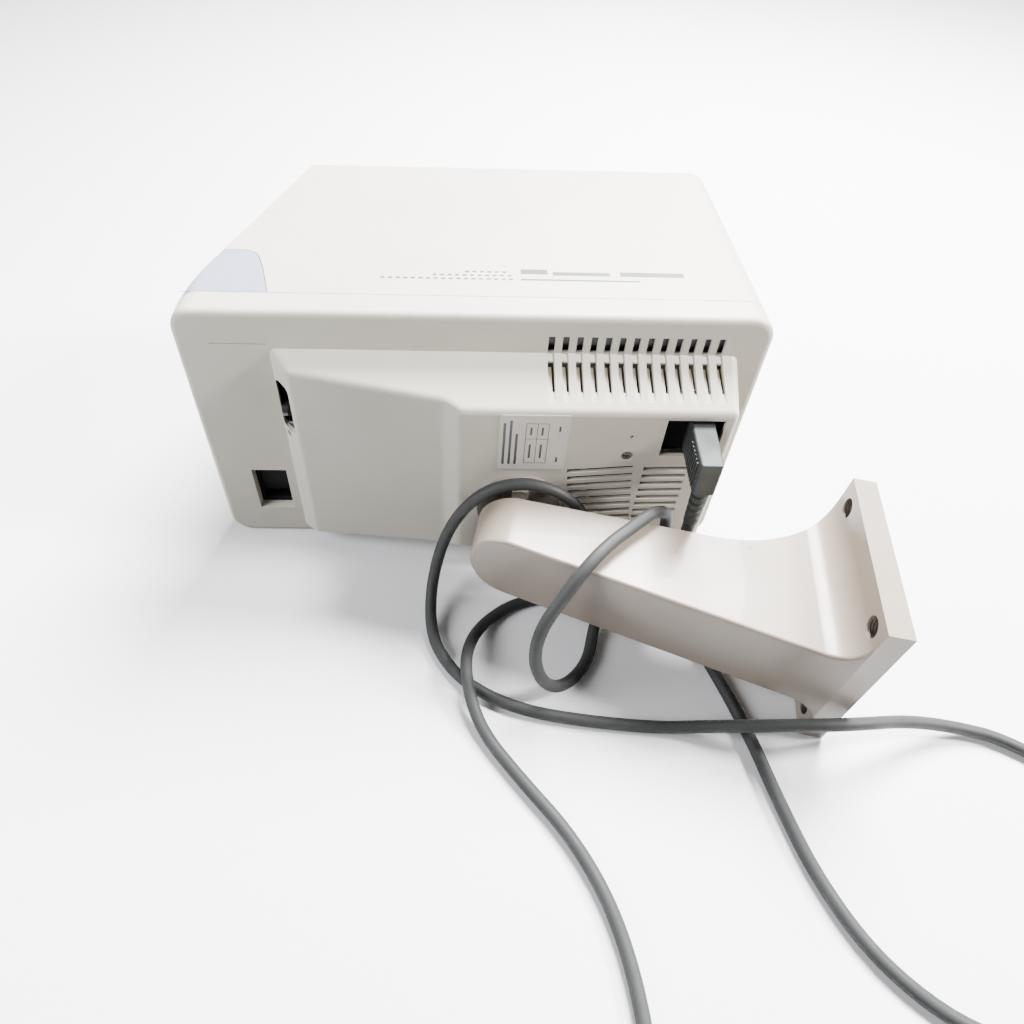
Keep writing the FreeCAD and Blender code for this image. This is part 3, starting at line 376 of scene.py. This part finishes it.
def sleeve(name, line, wide, narrow, ribs, body):
    """Tapered strain relief along a line, from its wide root to its narrow mouth, cut by rings."""
    groove_start, groove_end, groove_depth = 0.62, 0.95, 1.1 * MM
    mesh = bpy.data.meshes.new(name)
    form = bmesh.new()
    sides, rings = 28, []
    side = Vector((0.3, 1, 0.1))
    for i, point in enumerate(line):
        ahead = (line[min(i + 1, len(line) - 1)] - line[max(i - 1, 0)]).normalized()
        side = (side - ahead * side.dot(ahead)).normalized()
        other = ahead.cross(side)
        share = i / (len(line) - 1)
        phase = (share * ribs) % 1
        radius = wide + (narrow - wide) * share
        if groove_start < phase < groove_end:
            radius = max(radius - groove_depth, LEAD_DIAMETER / 2 + 0.15 * MM)
        ring = []
        for k in range(sides):
            turn = 2 * math.pi * k / sides
            ring.append(form.verts.new(point + (side * math.cos(turn) + other * math.sin(turn)) * radius))
        rings.append(ring)
    for low, high in zip(rings, rings[1:]):
        for k in range(sides):
            form.faces.new((low[k], low[(k + 1) % sides], high[(k + 1) % sides], high[k]))
    form.faces.new(rings[0][::-1])
    form.faces.new(rings[-1])
    bmesh.ops.recalc_face_normals(form, faces=form.faces)
    form.to_mesh(mesh)
    form.free()
    piece = add(name, mesh)
    return finish_piece(piece, "plug", body)


def make_tie():
    """Flat strap round the coil's bundle, closed by a small head."""
    low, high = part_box("coil_tie")
    middle = (low + high) / 2
    half_deep, half_tall = (high.y - low.y) / 2 - 0.6 * MM, (high.z - low.z) / 2 - 0.5 * MM
    form = bmesh.new()
    corner, half_wide = 3.4 * MM, 3.6 * MM
    outline = []
    for sign_y, sign_z, first in ((1, 1, 0), (-1, 1, 90), (-1, -1, 180), (1, -1, 270)):
        for step in range(7):
            turn = math.radians(first + 15 * step)
            y = sign_y * (half_deep - corner) + corner * math.cos(turn)
            z = sign_z * (half_tall - corner) + corner * math.sin(turn)
            outline.append((y, z))
    loops = []
    for x in (-half_wide, half_wide):
        loops.append([form.verts.new((middle.x + x, middle.y + y, middle.z + z)) for y, z in outline])
    count = len(outline)
    for k in range(count):
        form.faces.new((loops[0][k], loops[0][(k + 1) % count], loops[1][(k + 1) % count], loops[1][k]))
    mesh = bpy.data.meshes.new("lead_tie")
    form.to_mesh(mesh)
    form.free()
    piece = add("lead_tie", mesh)
    thick = piece.modifiers.new("thick", "SOLIDIFY")
    thick.thickness = 0.9 * MM
    finish_piece(piece, "tie", "projector")
    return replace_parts(piece, "coil_tie")


def make_mains_lead():
    lead = make_lead()
    line = centreline(lead)
    lead.data.bevel_depth = LEAD_DIAMETER / 2
    lead.data.bevel_resolution = 5
    lead.data.use_fill_caps = True
    finish_piece(lead, "cord", "projector")
    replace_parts(lead, "power_cord", "cord_coil", "cord_tail")
    exit_point = Vector(LEAD_ROUTE[0]) + WORK_ORIGIN
    # the boot begins 61 steps above the exit, inside the connector's grip
    root = [exit_point + Vector((0, 0, SLEEVE_STEP * k)) for k in range(61, 0, -1)]
    boot = sleeve("connector_boot", root + stretch_of(line, 3 * MM), 5.3 * MM, 4.3 * MM, 5, "projector")
    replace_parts(boot, "connector_relief")
    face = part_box("mains_plug")[0].x
    end = line[-1]
    count = int((face - end.x) / SLEEVE_STEP) + 1
    root = [Vector((face + 0.5 * MM - SLEEVE_STEP * k, end.y, end.z)) for k in range(count)]
    root += stretch_of(line[::-1], 8 * MM)
    plug_boot = sleeve("mains_plug_boot", root, 7 * MM, 4.5 * MM, 8, "projector")
    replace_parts(plug_boot, "mains_plug_relief")
    tie = make_tie()


make_mains_lead()

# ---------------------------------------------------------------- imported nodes

SLOTS = {part["node"]: part["material_slot"] for part in frame["record"]["subparts"]}

# width of the rounding that a mould or a casting leaves on each node's edges
ROUNDED = {
    "bottom_case": 0.6,
    "top_cover": 0.7,
    "front_fascia": 0.5,
    "mount_arm": 0.9,
    "iec_connector": 0.5,
    "mains_plug": 0.6,
    "switch_rocker": 0.4,
    "swivel_base": 0.5,
    "focus_lever": 0.5,
    "case_screws": 0.2,
    "swivel_screws": 0.2,
}


def dress_nodes():
    """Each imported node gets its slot's material, and the visible ones the soft edges of a real piece."""
    for name, node in nodes.items():
        node.data.materials.clear()
        node.data.materials.append(MATERIALS[SLOTS[name]])
        if name in ROUNDED:
            edge = node.modifiers.new("edge", "BEVEL")
            edge.width = ROUNDED[name] * MM
            edge.segments = 3
            edge.limit_method = "ANGLE"
            edge.angle_limit = math.radians(32)
            edge.harden_normals = True


dress_nodes()

# ---------------------------------------------------------------- printed marks and a painted seam shadow


def tiles(name, places, thick, slot, body):
    """Thin printed shapes: each place is a corner and two sides as vectors; the face is their plane."""
    form = bmesh.new()
    for corner, along, up in places:
        out = along.cross(up).normalized() * thick
        base = [corner, corner + along, corner + along + up, corner + up]
        low = [form.verts.new(p - out * 0.3) for p in base]
        high = [form.verts.new(p + out) for p in base]
        form.faces.new(high)
        form.faces.new(low[::-1])
        for k in range(4):
            form.faces.new((low[k], low[(k + 1) % 4], high[(k + 1) % 4], high[k]))
    mesh = bpy.data.meshes.new(name)
    form.to_mesh(mesh)
    form.free()
    return finish_piece(add(name, mesh), slot, body)


def ink_and_painted_shadow(name, places, thick=0.04 * MM, slot="ink_and_painted_shadow"):
    """Prints and the painted seam shadow keep their own material but take the black plastic's slot of the
    record.
    """
    piece = tiles(name, places, thick, "black_plastic", "projector")
    piece.data.materials[0] = MATERIALS[slot]
    return piece


def side_marks():
    """Rows of small squares that end in plain bars, on the side of the cover that is uppermost."""
    top = 182
    places = []
    for row, (first, count) in enumerate(((-55, 18), (-25, 11), (-6, 6))):
        for k in range(count):
            corner = at(first + 4.4 * k, 37 + 4 * row, top)
            places.append((corner, Vector((2.6 * MM, 0, 0)), Vector((0, 1.7 * MM, 0))))
    for x, y, length, tall in ((27, 44, 16, 5.5), (46, 43, 34, 4), (86, 43, 38, 5), (27, 37, 70, 1.8)):
        places.append((at(x, y, top), Vector((length * MM, 0, 0)), Vector((0, tall * MM, 0))))
    return ink_and_painted_shadow("side_marks", places)


def label_marks():
    """Plain bars and an empty table where the rating plate is printed."""
    low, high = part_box("rating_label")
    face = low.y
    along, up = Vector((1, 0, 0)), Vector((0, 0, 1))

    def bar(x, z, wide, tall):
        return (Vector((low.x + x * MM, face, low.z + z * MM)), along * wide * MM, up * tall * MM)

    places = [bar(2 + 3.6 * k, 4, 1.5, tall) for k, tall in enumerate((32, 34, 24))]
    places += [bar(15 + 6.5 * k, 5, 0.35, 31) for k in range(3)]
    places += [bar(15, z, 13.3, 0.35) for z in (5, 24, 35.7)]
    places += [bar(17.5, 9, 1.2, 11), bar(24, 9, 1.2, 11), bar(17.5, 27, 1.2, 6), bar(24, 27, 1.2, 6)]
    places += [bar(34, 6, 1.2, 4), bar(34, 30, 1.2, 4)]
    return ink_and_painted_shadow("label_marks", places)


def lever_dot():
    """Small green dot beside the focus lever's slot."""
    form = bmesh.new()
    # the hump's front wall leans back by 52 degrees
    lean = Matrix.Rotation(math.radians(-52), 4, "Z") @ Matrix.Rotation(math.radians(90), 4, "X")
    place = Matrix.Translation(at(-114, -4.68, 98.5)) @ lean
    bmesh.ops.create_circle(form, cap_ends=True, radius=2.1 * MM, segments=24, matrix=place)
    mesh = bpy.data.meshes.new("lever_dot")
    form.to_mesh(mesh)
    form.free()
    piece = finish_piece(add("lever_dot", mesh), "lever", "projector")
    piece.data.materials[0] = MATERIALS["green_ink"]
    return piece


def hole_liners():
    """Dark threaded sleeves in the wall plate's four holes, along the plate's own axis."""
    # the arm's own axes start at its pivot, turned by its tilt and its pan as it lies
    tilt, pan = math.radians(-10.9), math.radians(3.5)
    turn = Matrix.Rotation(tilt, 4, "Z") @ Matrix.Rotation(pan, 4, "Y")
    pose = Matrix.Translation(at(29.4, -42, 66.21)) @ turn
    mouth, thread_step, thread_depth, wide = 188.6, 0.78, 0.35, 5.95
    form = bmesh.new()
    sides = 40
    for y in (-67.5, 16.5):
        for z in (-42, 42):
            rings = []
            for k in range(9):
                radius = (wide - thread_depth * (k % 2)) * MM
                centre = Vector((mouth + thread_step * k, y, z)) * MM
                ring = []
                for i in range(sides):
                    a = 2 * math.pi * i / sides
                    out = Vector((0, math.cos(a), math.sin(a))) * radius
                    ring.append(form.verts.new(pose @ (centre + out)))
                rings.append(ring)
            for low, high in zip(rings, rings[1:]):
                for i in range(sides):
                    form.faces.new((low[i], low[(i + 1) % sides], high[(i + 1) % sides], high[i]))
    mesh = bpy.data.meshes.new("hole_threads")
    form.to_mesh(mesh)
    form.free()
    piece = finish_piece(add("hole_threads", mesh), "steel", "wall_arm")
    piece.data.materials[0] = MATERIALS["thread"]
    return piece


def painted_seam_shadow():
    """Painted shadow: a dark strip in the joint under the cap, along the side that is uppermost, standing
    in for the shade in the gap.
    """
    along, across = Vector((48.5 * MM, 0, 0)), Vector((0, 0.46 * MM, 0))
    return ink_and_painted_shadow("painted_seam_shadow", [(at(-166, 19.02, 181.5), along, across)])


side_marks()
label_marks()
painted_seam_shadow()
lever_dot()
hole_liners()

# ---------------------------------------------------------------- floor and light


def make_floor():
    mesh = bpy.data.meshes.new("floor")
    form = bmesh.new()
    bmesh.ops.create_grid(form, x_segments=1, y_segments=1, size=6)
    form.to_mesh(mesh)
    form.free()
    floor = add("floor", mesh)
    floor.location.z = -0.0004
    paper = new_material("floor_paper", (0.86, 0.86, 0.885), 0.6)
    tint(paper, spread(paper, noise(paper, 0.8, 2), 0.3, 0.7, 0, 1), (0.88, 0.88, 0.9))
    mesh.materials.append(paper)
    floor.visible_diffuse = False


def area_light(name, place, target, size, power, colour=(1, 1, 1)):
    data = bpy.data.lights.new(name, "AREA")
    data.shape = "DISK"
    data.size = size
    data.energy = power
    data.color = colour
    light = add(name, data)
    light.location = place
    light.rotation_euler = (Vector(target) - Vector(place)).to_track_quat("-Z", "Y").to_euler()


def make_lights():
    world = bpy.data.worlds.new("studio")
    world.use_nodes = True
    world.node_tree.nodes["Background"].inputs["Color"].default_value = (0.97, 0.98, 1, 1)
    world.node_tree.nodes["Background"].inputs["Strength"].default_value = 0.13
    bpy.context.scene.world = world
    area_light("key", (1.5, -0.16, 1.25), (0, 0, 0.1), 0.4, 120, (1, 0.985, 0.955))
    area_light("rear", (0.45, 0.85, 1.4), (0, 0, 0.1), 0.9, 270)
    area_light("fill", (-0.85, -0.4, 0.65), (-0.1, 0, 0.1), 0.6, 15, (0.97, 0.98, 1))


make_floor()
make_lights()
